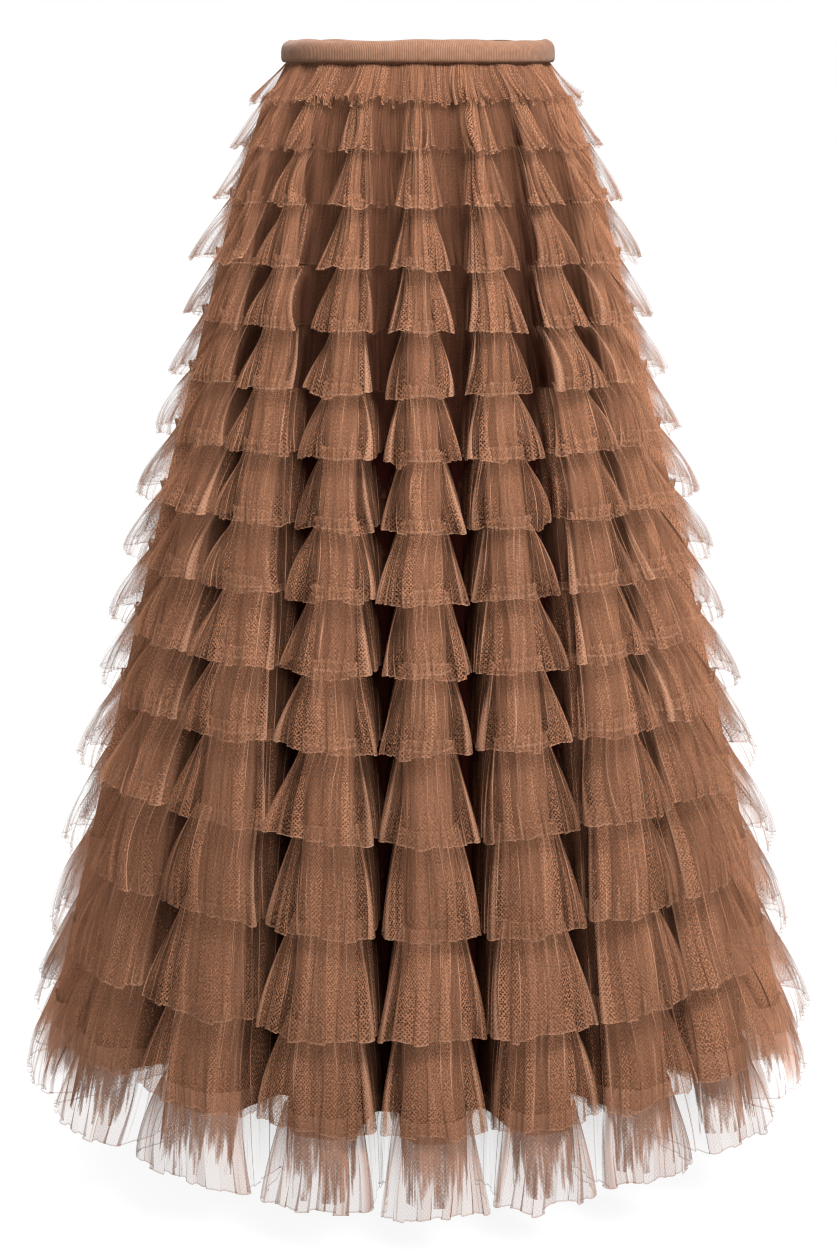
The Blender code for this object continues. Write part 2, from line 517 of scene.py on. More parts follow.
def lay_map(
    mesh: bpy.types.Mesh,
    name: str,
    edges: tuple[np.ndarray, np.ndarray],
    base: np.ndarray,
    levels: np.ndarray,
) -> None:
    """Lays a tube's faces out in a map of their own.

    Args:
        mesh: The tube.
        name: The map's name.
        edges: Where each column of faces starts in the map, and where it ends.
        base: How high in the map each column's levels are counted from.
        levels: How high each level lies above that.
    """
    uv = np.zeros((len(levels) - 1, len(base), 4, 2))
    for corner, (edge, row) in enumerate(((0, 0), (0, 1), (1, 1), (1, 0))):
        uv[:, :, corner, 0] = edges[edge]
        uv[:, :, corner, 1] = base + levels[row : len(levels) - 1 + row, None]
    layer = mesh.uv_layers.new(name=name, do_init=False)
    layer.uv.foreach_set("vector", uv.astype(np.float32).ravel())


class ClothLevels:
    """The levels of a piece of cloth from the top down, with the net's numbers on each."""

    def __init__(self, ring: FoldedRing) -> None:
        """Starts a cloth with those columns and no level."""
        self.ring = ring
        self.points: list[np.ndarray] = []
        self.net: dict[str, list[np.ndarray]] = {}

    def add(self, level: np.ndarray, heights: np.ndarray, **net: np.ndarray | float) -> None:
        """Adds a level below the others.

        Args:
            level: Its points by (x, y).
            heights: How high each of them lies.
            **net: Numbers for the material to read, for each point or for all of them.
        """
        self.points.append(np.column_stack([level, heights]))
        for key, value in net.items():
            self.net.setdefault(key, []).append(np.broadcast_to(value, len(level)))

    def cloth(self, name: str, by: str, limit: float) -> bpy.types.Object:
        """Makes the piece.

        Args:
            name: Its name.
            by: The number that says where it has the second material.
            limit: It has that material above this value.

        Returns:
            The piece, with each point's place in the folds as one number more.
        """
        values = {key: np.stack(value) for key, value in self.net.items()}
        values["fold"] = np.tile(2 * (self.ring.fold + self.ring.phase), (len(self.points), 1))
        grid = np.stack(self.points)
        return cloth_mesh(name, grid, self.ring.flute, values, values[by] > limit)


# ---------------------------------------------------------------- finishes

Colour = tuple[float, float, float]
WHITE = (1.0, 1.0, 1.0, 1.0)

# A wave texture repeats every 0.314 units at a scale of 1.
WAVE_REPEAT = 0.314
# How close the fine creases of the net and the strands of a frayed edge lie.
STRAND_SCALE = 330.0


class NodeSketch:
    """A material's node tree, with short ways to add to it."""

    def __init__(self, name: str, roughness: float, specular: float) -> None:
        """Starts a material with one Principled shader.

        Args:
            name: Its name.
            roughness: How matt it is.
            specular: How much gloss it has, 0.5 as a rule.
        """
        self.material = bpy.data.materials.new(name)
        self.material.use_nodes = True
        self.nodes = self.material.node_tree.nodes
        self.links = self.material.node_tree.links
        self.shader = self.nodes["Principled BSDF"]
        self.feed(self.shader, {"Roughness": roughness, "Specular IOR Level": specular})

    def feed(self, node: bpy.types.Node, inputs: dict[str | int, object]) -> None:
        """Gives a node's inputs their values.

        Args:
            node: The node.
            inputs: A number, a colour or another node's output for each input.
        """
        for key, value in inputs.items():
            if isinstance(value, bpy.types.NodeSocket):
                self.links.new(value, node.inputs[key])
            else:
                node.inputs[key].default_value = value

    def add(
        self, kind: str, inputs: dict[str | int, object], **settings: object
    ) -> bpy.types.Node:
        """Adds a node.

        Args:
            kind: Its type.
            inputs: Its inputs' values.
            **settings: Its settings.

        Returns:
            The node.
        """
        node = self.nodes.new(kind)
        for key, value in settings.items():
            setattr(node, key, value)
        self.feed(node, inputs)
        return node

    def math(self, operation: str, *values: object, clamp: bool = False) -> bpy.types.NodeSocket:
        """A Math node's result, kept from 0 to 1 if it is clamped."""
        inputs = dict(enumerate(values))
        return self.add("ShaderNodeMath", inputs, operation=operation, use_clamp=clamp).outputs[0]

    def blend(self, share: object, a: object, b: object) -> bpy.types.NodeSocket:
        """A colour between two others, by the second one's share."""
        return self.add("ShaderNodeMix", {0: share, 6: a, 7: b}, data_type="RGBA").outputs[2]

    def number(self, attribute: str) -> bpy.types.NodeSocket:
        """A number that the mesh holds at each point."""
        return self.add("ShaderNodeAttribute", {}, attribute_name=attribute).outputs["Fac"]

    def cloth(self) -> bpy.types.NodeSocket:
        """The cloth's own map, in metres."""
        return self.add("ShaderNodeUVMap", {}, uv_map="cloth").outputs[0]

    def drawn_out(self, share: float) -> bpy.types.NodeSocket:
        """The cloth's map for patterns that are longer down the cloth, by one over a share."""
        inputs = {"Vector": self.cloth(), "Scale": (1.0, share, 1.0)}
        return self.add("ShaderNodeMapping", inputs).outputs[0]

    def noise(
        self, vector: bpy.types.NodeSocket, scale: float, detail: float
    ) -> bpy.types.NodeSocket:
        """Spots on a map, the closer the larger the scale."""
        inputs = {"Vector": vector, "Scale": scale, "Detail": detail}
        return self.add("ShaderNodeTexNoise", inputs).outputs["Fac"]

    def waves(
        self, vector: bpy.types.NodeSocket, spacing: float, distortion: float = 0.0
    ) -> bpy.types.NodeSocket:
        """Straight ridges across a map, each from 0 up to 1, at that distance."""
        inputs = {"Vector": vector, "Scale": WAVE_REPEAT / spacing, "Distortion": distortion}
        return self.add("ShaderNodeTexWave", inputs, wave_profile="SIN").outputs["Fac"]


@dataclass(frozen=True)
class NetFinish:
    """Soft nylon net, see-through in one layer.

    Attributes:
        name: The material's name.
        thread: The thread's colour.
        fold: Its lighter colour along the edge of a fold, as a painted highlight.
        deep: Its painted shade colour where the net lies deep in a valley.
        cover: How much of what is behind one layer hides, or 1 for close net.
        contrast: How much clearer the holes are than the threads.
        grain: How much the net varies from spot to spot, where layers lie over each other.
        frayed: Whether it ends in points, by the mesh's "fray".
        mesh_size: From one hole of the net to the next.
        lean: How the two sets of threads lean, in radians.
        shades: The darkest and the lightest thread, as shares of its colour.
        ridge_layers: How many layers more a fold's edge has.
        crease_edge: How sharp the long creases are.
    """

    name: str
    thread: Colour
    fold: Colour
    deep: Colour
    cover: float
    contrast: float
    grain: float
    frayed: bool = False
    mesh_size: float = 0.0022
    lean: tuple[float, float] = (0.62, -0.58)
    shades: tuple[float, float] = (0.45, 1.55)
    ridge_layers: float = 4.0
    crease_edge: float = 13.0

    def material(self) -> bpy.types.Material:
        """The net's material, which reads the numbers that the mesh holds for it."""
        sketch = NodeSketch(self.name, roughness=0.8, specular=0.0)
        pattern = self.weave(sketch)
        # Fold edges and creases have more layers, and further down they get a painted highlight.
        ridge = sketch.math("MAXIMUM", sketch.number("ridge"), self.creases(sketch))
        if self.cover < 1:
            layers = sketch.math("MULTIPLY", pattern, sketch.number("layers"))
            layers = sketch.math("MULTIPLY_ADD", ridge, self.ridge_layers, layers)
            if self.frayed:
                layers = sketch.math("MULTIPLY", layers, self.fraying(sketch))
            clear = sketch.math("POWER", 1 - self.cover, layers)
            alpha = sketch.math("SUBTRACT", 1.0, clear, clamp=True)
            sketch.feed(sketch.shader, {"Alpha": alpha})
        # The mesh's tone is tone that differs at random, together with painted light and shade.
        tone = sketch.math("MULTIPLY", pattern, sketch.number("tone"))
        dark, light = ((*(shade * c for c in self.thread), 1.0) for shade in self.shades)
        speckled = sketch.blend(sketch.math("MULTIPLY", tone, 0.5, clamp=True), dark, light)
        # Painted highlight in the fold colour, then painted valley shade in the deep colour.
        edged = sketch.blend(ridge, speckled, (*self.fold, 1.0))
        colour = sketch.blend(sketch.number("hollow"), edged, (*self.deep, 1.0))
        sketch.feed(sketch.shader, {"Base Color": colour})
        return sketch.material

    def creases(self, sketch: NodeSketch) -> bpy.types.NodeSocket:
        """Creases that run down the net.

        Args:
            sketch: The material.

        Returns:
            0 beside the creases and up to 1 on them.
        """
        # Fine creases show only where their noise is high.
        fine = sketch.noise(sketch.drawn_out(0.025), STRAND_SCALE, 3.0)
        fine = sketch.math("MULTIPLY", sketch.math("SUBTRACT", fine, 0.60), 4.5, clamp=True)
        # A long crease lies along a fold's edge, and some have no strength at all.
        fold = sketch.number("fold")
        away = sketch.math("ABSOLUTE", sketch.math("SUBTRACT", sketch.math("FRACT", fold), 0.5))
        long = sketch.math("MULTIPLY_ADD", away, -self.crease_edge, 1.2, clamp=True)
        each = {"W": sketch.math("FLOOR", fold)}
        chance = sketch.add("ShaderNodeTexWhiteNoise", each, noise_dimensions="1D")
        strength = sketch.math("MULTIPLY_ADD", chance.outputs["Value"], 2.4, -0.7, clamp=True)
        strength = sketch.math("MULTIPLY", strength, sketch.number("crease"))
        return sketch.math("MAXIMUM", fine, sketch.math("MULTIPLY", long, strength))

    def fraying(self, sketch: NodeSketch) -> bpy.types.NodeSocket:
        """What is left of a frayed edge, by the mesh's "fray".

        Args:
            sketch: The material.

        Returns:
            A factor that falls from 1 to 0 in long points.
        """
        # Broad points with fine strands on them are cut off where the fraying is stronger.
        strands = sketch.drawn_out(0.07)
        broad = sketch.noise(strands, 60.0, 1.0)
        fine = sketch.noise(strands, STRAND_SCALE, 3.0)
        points = sketch.math("MULTIPLY_ADD", fine, 2.4, -1.05)
        points = sketch.math("MULTIPLY_ADD", broad, 1.5, points)
        left = sketch.math("SUBTRACT", points, sketch.number("fray"))
        return sketch.math("MULTIPLY", left, 1.9, clamp=True)

    def weave(self, sketch: NodeSketch) -> bpy.types.NodeSocket:
        """The net's crossed threads.

        Args:
            sketch: The material.

        Returns:
            About 1 on average, and more on a thread.
        """
        cloth = sketch.cloth()
        threads = []
        for turn in self.lean:
            turned = {"Vector": cloth, "Rotation": (0, 0, turn)}
            mapping = sketch.add("ShaderNodeMapping", turned, vector_type="TEXTURE")
            threads.append(sketch.waves(mapping.outputs[0], self.mesh_size))
        crossed = sketch.math("MAXIMUM", *threads)
        crossed = sketch.math("MULTIPLY_ADD", crossed, self.contrast, 1 - 0.70 * self.contrast)
        # Where layers lie over each other their holes meet in a fine grain.
        uneven = sketch.noise(cloth, 520.0, 1.0)
        spots = sketch.math("MULTIPLY_ADD", uneven, self.grain, 1 - 0.5 * self.grain)
        return sketch.math("MULTIPLY", crossed, spots)


@dataclass(frozen=True)
class BandFinish:
    """Ribbed knitted elastic.

    Attributes:
        name: The material's name.
        yarn: The yarn's colour on a rib.
        groove_shade: The colour between ribs.
        rib: From one rib to the next.
        rib_height: How high a rib stands.
    """

    name: str
    yarn: Colour
    # groove_shade: The painted shade colour between ribs.
    groove_shade: Colour
    rib: float
    rib_height: float = 0.0004

    def material(self) -> bpy.types.Material:
        """The elastic's material."""
        sketch = NodeSketch(self.name, roughness=0.8, specular=0.2)
        cloth = sketch.cloth()
        ribs = sketch.waves(cloth, self.rib, distortion=0.6)
        uneven = sketch.math("MULTIPLY_ADD", sketch.noise(cloth, 170.0, 4.0), 2.2, -0.3)
        share = sketch.math("MULTIPLY", ribs, uneven)
        # Painted shade in the grooves between ribs, mottled by tone that differs at random.
        colour = sketch.blend(share, (*self.groove_shade, 1.0), (*self.yarn, 1.0))
        relief = {"Height": ribs, "Strength": 0.5, "Distance": self.rib_height}
        bump = sketch.add("ShaderNodeBump", relief).outputs[0]
        sketch.feed(sketch.shader, {"Base Color": colour, "Normal": bump, "Sheen Weight": 0.15})
        return sketch.material


# ---------------------------------------------------------------- ruffles


@dataclass(frozen=True)
class Heading:
    """What stands above a ruffle's stitch line.

    Attributes:
        height: How high it stands.
        standoff: How far its top edge stands out from the underskirt.
        ripple: How far its fine gathers stand out.
        swell: How far it stands out here and there.
        ragged: How far its top edge goes up and down.
        layers: How many layers of net lie over each other in it.
        gather_layers: How many more each fine gather has.
        tone: How light it is, as a factor.
        gather_shading: How much lighter each fine gather is painted, and darker between two.
        light: How much light the gathers catch, and its top edge as well.
    """

    height: float
    standoff: float
    ripple: float = 0.0010
    swell: float = 0.0008
    ragged: float = 0.0007
    layers: float = 6.5
    gather_layers: float = 3.0
    tone: float = 1.50
    gather_shading: float = 0.50
    light: float = 0.55


TUCKED = Heading(0.0045, 0.0030)
FRILL = Heading(0.0095, 0.0048)


@dataclass(frozen=True)
class NetLook:
    """How the look of a ruffle's net changes from place to place.

    Attributes:
        side_thin: The share of its layers that is missing at the very sides of the skirt.
        flank_thin: The share that is missing on the flanks of the bells.
        bare: The share that is missing between the bells of a sheer hem.
        frill_layers: The layers more below a stitch line with a heading.
        seam_layers: The layers more below one without.
        seam_reach: How far down the fall they reach.
        streak_layers: The layers more in a crease below a fine gather.
        strand_layers: The layers more in a fold that stays doubled at the skirt's sides.
        side_painted_light: How much lighter the net is painted there, where it faces away from the
            key lamp.
        seam_shade: How much darker it is below the stitch line.
        shade_reach: How far down the fall that shade reaches.
        corner: How far before the corner of a crest the net catches most light.
        corner_width: How wide that line of light is.
        corner_light: How much light it catches there.
        seam_light: How much light a stitch line below a heading catches.
        hem_light: How much light the hem's edge catches.
        streak_light: How much light the creases below the gathers catch.
        valley: The depth in a flute where its painted valley shade starts.
        valley_edge: Over what depth it gets there.
        shallow_drop: The level above which valleys are too shallow to count by depth alone.
    """

    side_thin: float = 0.72
    flank_thin: float = 0.25
    bare: float = 0.8
    frill_layers: float = 2.0
    seam_layers: float = 0.6
    seam_reach: float = 0.05
    streak_layers: float = 1.5
    strand_layers: float = 4.0
    side_painted_light: float = 0.7
    seam_shade: float = 0.12
    shade_reach: float = 0.06
    corner: float = 0.0015
    corner_width: float = 0.0012
    corner_light: float = 0.8
    seam_light: float = 0.8
    hem_light: float = 0.60
    streak_light: float = 0.8
    valley: float = 0.42
    valley_edge: float = 0.3
    shallow_drop: float = 0.26


@dataclass(frozen=True)
class Ruffle:
    """One gathered strip of net, sewn round the underskirt.

    Attributes:
        number: Its place from the top.
        stitch_drop: The level of its stitch line.
        hem_drop: The level of its hem.
        flare: How far its hem stands out from the crests.
        mouth_share: The part of the pitch that a bell's mouth fills.
        heading: What stands above the stitch line, if anything.
        layers: How many layers of net lie over each other.
        strip: The length of the strip before it is gathered.
        zigzag: How unevenly the hem hangs from panel to panel.
        dense: The layers that it has more at its stitch line than at its hem.
        bulge: How round a bell is below the hips: 1 is a straight side.
        slant: The cloth's length from stitch line to hem, to the height between them.
        stitch_standoff: How far the stitch line stands out from the underskirt.
        valley_standoff: How far the hem does, in the valleys.
        waist_depth: How much deeper its valleys are at the waist, where the flutes are shallow.
        gather_height: How high the fine gathers stand at the stitch line.
        fold_height: How high a fold stands at the hem.
        fold_back: How far a fold doubles back, as a share of its width.
        sway: How far a bell leans to one side at its hem.
        wander: How far its folds stray to one side halfway down.
        droop: How unevenly the hem hangs from one group of folds to the next.
        frizz: How far the hem's edge goes up and down with the fine gathers.
        look: How its net looks from place to place.
    """

    number: int
    stitch_drop: float
    hem_drop: float
    flare: float
    mouth_share: float
    heading: Heading | None
    layers: float
    strip: float
    zigzag: float = 0.0
    dense: float = 0.0
    bulge: float = 1.5
    slant: float = 1.16
    stitch_standoff: float = 0.0030
    valley_standoff: float = 0.0130
    waist_depth: float = 0.005
    gather_height: float = 0.0010
    fold_height: float = 0.0052
    fold_back: float = 0.14
    sway: float = 0.0035
    wander: float = 0.0040
    droop: float = 0.0022
    frizz: float = 0.0006
    look: NetLook = NetLook()

    @property
    def name(self) -> str:
        """The ruffle's node in the model."""
        return f"ruffle_{self.number:02d}"

    @property
    def cut_height(self) -> float:
        """The height of the strip, heading and slanting fall together."""
        heading = self.heading.height if self.heading else 0.0
        return heading + self.slant * (self.hem_drop - self.stitch_drop)

    def build(self, form: SkirtForm, plan: FoldPlan) -> bpy.types.Object:
        """Makes the ruffle's cloth.

        Args:
            form: The skirt's form.
            plan: Its folds.

        Returns:
            The piece.
        """
        hung = HungRuffle(self, form, plan)
        if self.heading:
            hung.add_heading(self.heading)
        hung.add_fall()
        return hung.levels.cloth(self.name, by="hollow", limit=hung.CLOSE_FROM)

    def dress(
        self, cloth: bpy.types.Object, sheer: bpy.types.Material, close: bpy.types.Material
    ) -> None:
        """Gives the ruffle its finishes and its place in the model.

        Args:
            cloth: The ruffle.
            sheer: The finish of its bells.
            close: The finish of its deepest valleys, opaque and in painted shade.
        """
        cloth.data.materials.append(sheer)
        cloth.data.materials.append(close)
        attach(cloth, BODY)
        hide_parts(self.name)


class Unevenness:
    """What differs from place to place in a ruffle, as random numbers for its columns.

    Attributes:
        strand: How far down each fold stays doubled at the skirt's sides, as a factor.
        tall: How high each fold stands, as a factor.
        back: How far it doubles back, as a factor.
        late: How far down the fall it starts, as a share of the fall.
        wander: Which way the folds stray halfway down.
        ragged: How much lower each panel's hem hangs, from -1 to 1.
        droop: How much lower the hem hangs from one group of folds to the next.
        sway: Which way each bell leans.
        grow: How wide each bell is, as a factor.
        roundness: How round each of its two sides is, as a factor.
        streak: How clear the crease below each fine gather is, from 0 to 1.
        length: How far down that crease runs, as a share of the fall.
        tone: How light each panel is, as a factor.
        doubled: How many layers each panel has, as a factor.
        bell_tone: How light each bell is, as a factor.
    """

    def __init__(self, ring: FoldedRing, flutes: int, rng: np.random.Generator) -> None:
        """Draws the numbers, always in this order.

        Args:
            ring: The ruffle's columns.
            flutes: The number of flutes.
            rng: Where the numbers come from.
        """
        panels = 2 * ring.folds
        self.strand = rng.uniform(0.35, 1.15, ring.folds)[ring.fold]
        self.tall = rng.uniform(0.35, 1.25, ring.folds)[ring.fold]
        self.back = rng.uniform(0.35, 1.35, ring.folds)[ring.fold]
        self.late = rng.uniform(0.0, 0.35, ring.folds)[ring.fold]
        self.wander = smoothed(rng.normal(0, 1, ring.folds)[ring.fold], 9.0)
        self.ragged = rng.uniform(-1, 1, panels)[ring.panel]
        self.droop = smoothed(rng.normal(0, 1, ring.folds)[ring.fold], 4.0)
        self.sway = smoothed(rng.normal(0, 1, flutes)[ring.flute], 12.0)
        self.grow = smoothed(rng.normal(1, 0.06, flutes)[ring.flute], 12.0)
        sides = rng.uniform(0.75, 1.25, (2, flutes))
        self.roundness = smoothed(sides[(ring.reach > 0).astype(int), ring.flute], 8.0)
        gather = ring.gather.astype(int)
        self.streak = rng.uniform(0.0, 1.0, gather.max() + 2)[gather]
        self.length = rng.uniform(0.06, 0.42, gather.max() + 2)[gather]
        self.tone = rng.uniform(0.68, 1.30, panels)[ring.panel]
        self.doubled = rng.choice((0.9, 1.25, 2.1), panels)[ring.panel]
        self.bell_tone = smoothed(rng.normal(1, 0.07, flutes)[ring.flute], 4.0)


class HungRuffle:
    """A ruffle as it hangs round the skirt, level by level.

    How far down a level lies is told from 0 at the stitch line to 1 at the hem.

    Attributes:
        ruffle: Its sizes.
        form: The skirt's form.
        plan: Its folds.
        ring: Its columns.
        uneven: What differs from one of them to the next.
        stitch: Its stitch line, columns by (x, y).
        hem: Its hem before it is folded, columns by (x, y).
        bulge: How round its bells are.
        past: How far each column lies past the corner of its crest, at the hem.
        flank: 1 where the net runs back into a valley, and 0 on the crests.
        side: 1 at the very sides of the skirt, where it is seen in single layers.
        calm: How clear creases are. Near the waist they are fainter.
        crimp_shading: How much lighter and darker the fine gathers are painted. Near the waist
            they show.
        lit: How much light the shallow valleys near the waist get.
        fine: The fine gathers, 1 on each and -1 between two.
        levels: The levels that it has so far.
    """

    # How far up the heading each of its levels lies, and how far out.
    HEADING_LEVELS = ((1.0, 1.0), (0.86, 0.92), (0.5, 0.55), (0.16, 0.1))
    FALL_LEVELS = (0.0, 0.025, 0.06, 0.11, 0.18, 0.26, 0.36, 0.48, 0.62, 0.78, 0.91, 0.975, 1.0)
    # How far corners are rounded at the stitch line and at the hem, in columns.
    STITCH_ROUND, HEM_ROUND = 2.0, 3.0
    # The levels where bells start to be round, and where they are as round as any.
    BULGE_DROPS = (0.04, 0.30)
    # The part of a fold's height that is left on the flanks.
    FLANK_FOLDS = 0.45
    # How much more light valleys get above some drops, and over what height it comes.
    VALLEY_LIGHT = ((0.22, 0.17, 0.12), (0.35, 0.03, 0.01), (0.25, 0.34, 0.20))
    # Where painted valley shade is this strong there is close net, darker and opaque.
    CLOSE_FROM = 0.97

    def __init__(self, ruffle: Ruffle, form: SkirtForm, plan: FoldPlan) -> None:
        """Lays out the stitch line and the hem.

        Args:
            ruffle: The ruffle's sizes.
            form: The skirt's form.
            plan: The ruffle's folds.
        """
        rng = np.random.default_rng(SEED + ruffle.number)
        ring = FoldedRing(plan, len(form.flutes), rng)
        self.ruffle, self.form, self.plan, self.ring = ruffle, form, plan, ring
        self.uneven = Unevenness(ring, len(form.flutes), rng)
        self.levels = ClothLevels(ring)

        drop = ruffle.stitch_drop
        stitch = ring.lay(form.underskirt_corners(drop), self.STITCH_ROUND)
        self.stitch = stitch + outward(stitch)[1] * ruffle.stitch_standoff
        depth = form.size_at("flute_depth", ruffle.hem_drop) + ruffle.flare
        depth -= ruffle.valley_standoff
        depth += ruffle.waist_depth * max(0.0, 1 - drop / form.hip_drop)
        mouths = form.corners(ruffle.hem_drop, ruffle.mouth_share, depth, ruffle.flare, Mouth.OPEN)
        self.hem = ring.lay(mouths, self.HEM_ROUND)
        self.past = ring.past_corner(mouths)
        bulge = np.interp(drop, self.BULGE_DROPS, (1.0, ruffle.bulge))
        self.bulge = bulge * self.uneven.roundness

        self.flank = edge_shade(form.depth_at(self.stitch, drop))
        self.side = beside(self.hem)
        self.lit = sum(gain * ramp(drop, end, -over) for gain, end, over in self.VALLEY_LIGHT)
        self.calm = 1 - 0.7 * ramp(drop, 0.24, -0.15)
        self.crimp_shading = 0.5 * ramp(drop, 0.17, -0.08)
        self.fine = np.cos(math.tau * ring.gather)

    def add_heading(self, heading: Heading) -> None:
        """Adds the levels of what stands above the stitch line.

        Args:
            heading: Its sizes.
        """
        drop = self.ruffle.stitch_drop
        corners = self.form.underskirt_corners(drop - heading.height)
        top = self.ring.lay(corners, self.STITCH_ROUND)
        out = outward(top)[1]
        top = top + out * self.ruffle.stitch_standoff
        stand = heading.standoff - self.ruffle.stitch_standoff
        # It stands up on the crests, and lies low in the valleys.
        crest = 1 - 0.7 * ramp(self.form.depth_at(self.stitch, drop), 0.0, 0.35)
        # Waves that don't keep time with the gathers make them uneven.
        swell = np.sin(math.tau * self.ring.gather * 0.37)
        tear = self.fine + np.sin(math.tau * self.ring.gather * 0.23)
        gathers = heading.gather_layers * self.fine
        for up, share in self.HEADING_LEVELS:
            at_top = up == 1.0
            ripple = heading.ripple * share * self.fine + heading.swell * share * swell
            level = self.stitch + (top - self.stitch) * up
            level = level + out * (stand * share * crest + ripple)[:, None]
            heights = self.form.heights(level, drop) + heading.height * up * crest
            # Painted highlight on the gathers and top edge, painted light and shade on the
            # gathers, painted valley shade on the flanks.
            gather_highlight = heading.light * np.clip(self.fine, 0, 1) ** 3 + heading.light * at_top
            self.levels.add(
                level,
                heights + heading.ragged * at_top * tear,
                layers=(heading.layers + gathers * share) * (1 - 0.9 * self.flank),
                tone=heading.tone + heading.gather_shading * self.fine,
                ridge=gather_highlight * (1 - self.flank),
                hollow=self.flank * (1 - self.side) * (1 - self.lit),
                crease=0.0,
            )

    def add_fall(self) -> None:
        """Adds the levels from the stitch line down to the hem."""
        ruffle, uneven = self.ruffle, self.uneven
        for fall in self.FALL_LEVELS:
            drop = ruffle.stitch_drop + (ruffle.hem_drop - ruffle.stitch_drop) * fall
            opened = (1 - (1 - fall) ** self.bulge) * (1 + (uneven.grow - 1) * fall)
            bell = self.stitch + (self.hem - self.stitch) * opened[:, None]
            level = self.folded(bell, fall)
            heights = self.form.heights(level, drop) + ruffle.droop * uneven.droop * fall * fall
            frizz = ruffle.frizz * self.fine * (fall > 0.95)
            heights = heights + (frizz + ruffle.zigzag * uneven.ragged * fall**3)
            numbers = self.numbers(fall, self.form.depth_at(bell, drop))
            self.levels.add(level, heights, **numbers)

    def folded(self, bell: np.ndarray, fall: float) -> np.ndarray:
        """A level of the bells with its folds and fine gathers.

        Args:
            bell: The level without them, columns by (x, y).
            fall: Where it lies.

        Returns:
            The level, columns by (x, y).
        """
        ruffle, uneven = self.ruffle, self.uneven
        along, out = outward(bell)
        width = np.linalg.norm(np.roll(bell, -1, axis=0) - np.roll(bell, 1, axis=0), axis=1)
        width = smoothed(width / 2, 6.0) * self.plan.front_points
        amount = np.where(self.ring.front > 0.5, 1.0, self.FLANK_FOLDS)
        grown = ramp(fall, uneven.late, 1 - uneven.late) ** 0.8
        lift = ruffle.fold_height * uneven.tall * amount * grown * (self.ring.wave - 0.5)
        lift += ruffle.gather_height * math.exp(-fall / 0.25) * self.fine
        doubled = np.sin(2 * math.tau * self.ring.phase)
        shift = ruffle.fold_back * uneven.back * amount * grown * doubled * width
        level = bell + out * lift[:, None] + along * shift[:, None]
        astray = ruffle.wander * math.sin(math.pi * fall) * uneven.wander
        return level + along * (ruffle.sway * fall * uneven.sway + astray)[:, None]

    def numbers(self, fall: float, depth: np.ndarray) -> dict[str, np.ndarray]:
        """The numbers that the net's material reads on a level.

        Args:
            fall: Where it lies.
            depth: How deep in the flutes its points lie.

        Returns:
            The layers, their tone with painted light and shade, their painted highlights,
            the painted valley shade and how clear their creases are, at each point.
        """
        ruffle, look, uneven = self.ruffle, self.ruffle.look, self.uneven
        side, flank = self.side, self.flank
        streaks = uneven.streak * np.exp(-((fall / uneven.length) ** 2))
        streaks = streaks * np.clip(self.fine, 0, 1) ** 5

        seam = look.frill_layers if ruffle.heading else look.seam_layers
        layers = ruffle.layers * uneven.doubled
        layers = layers * (1 - look.side_thin * side) * (1 - look.flank_thin * flank)
        layers = layers + seam * math.exp(-fall / look.seam_reach) * (1 - flank)
        layers = layers + look.streak_layers * streaks
        if ruffle.dense:
            # Between the bells of the sheer hem there is next to nothing to see.
            dense = ruffle.dense * (1 - 0.6 * side) * (1 - look.bare * flank) * (1 - fall) ** 3
            layers = layers * (1 - look.bare * flank * fall) + dense
        # At the skirt's sides some folds stay doubled for a part of their way down.
        within = ramp(depth, -0.38, 0.25)
        strands = look.strand_layers * side * within * ramp(uneven.strand * within, fall, 0.3)

        # The panels' own tone differs at random; on it the net is painted lighter at the sides, in
        # painted shade below the stitch line and in painted light and shade on the gathers.
        tone = uneven.tone * (1 + look.side_painted_light * side)
        tone = tone * (1 - look.seam_shade * math.exp(-fall / look.shade_reach))
        tone = tone * (1 + self.crimp_shading * self.fine) * uneven.bell_tone

        # Painted highlights on the crests' corners, the stitch line, the hem's edge and the
        # creases.
        corner = np.exp(-(((self.past + look.corner) / look.corner_width) ** 2))
        corner = look.corner_light * corner * min(1.0, fall / 0.1) * self.calm
        at_seam = (fall == 0.0) * bool(ruffle.heading)
        ridge = corner * (1 - 0.6 * side) + look.seam_light * at_seam * (1 - flank)
        ridge = ridge + look.hem_light * (fall == 1.0) + look.streak_light * streaks

        # Painted valley shade, by depth in the flutes.
        hollow = ramp(depth, look.valley, look.valley_edge)
        if ruffle.stitch_drop < look.shallow_drop:
            # Shallow valleys count by the bell's own corner.
            hollow = np.maximum(hollow, ramp(self.past, 0.0, 0.006) * min(1.0, fall / 0.2))
        if ruffle.dense:
            # A single layer lets the light into its valleys.
            hollow = hollow * max(0.0, 1 - 3 * fall)
        return {
            "layers": layers + strands,
            "tone": tone,
            "ridge": np.clip(ridge, 0, 1),
            "hollow": hollow * (1 - side) * (1 - self.lit),
            "crease": self.calm * (1 - 0.5 * side) * min(1.0, 0.4 + 4 * fall),
        }


# ---------------------------------------------------------------- underskirt and waistband


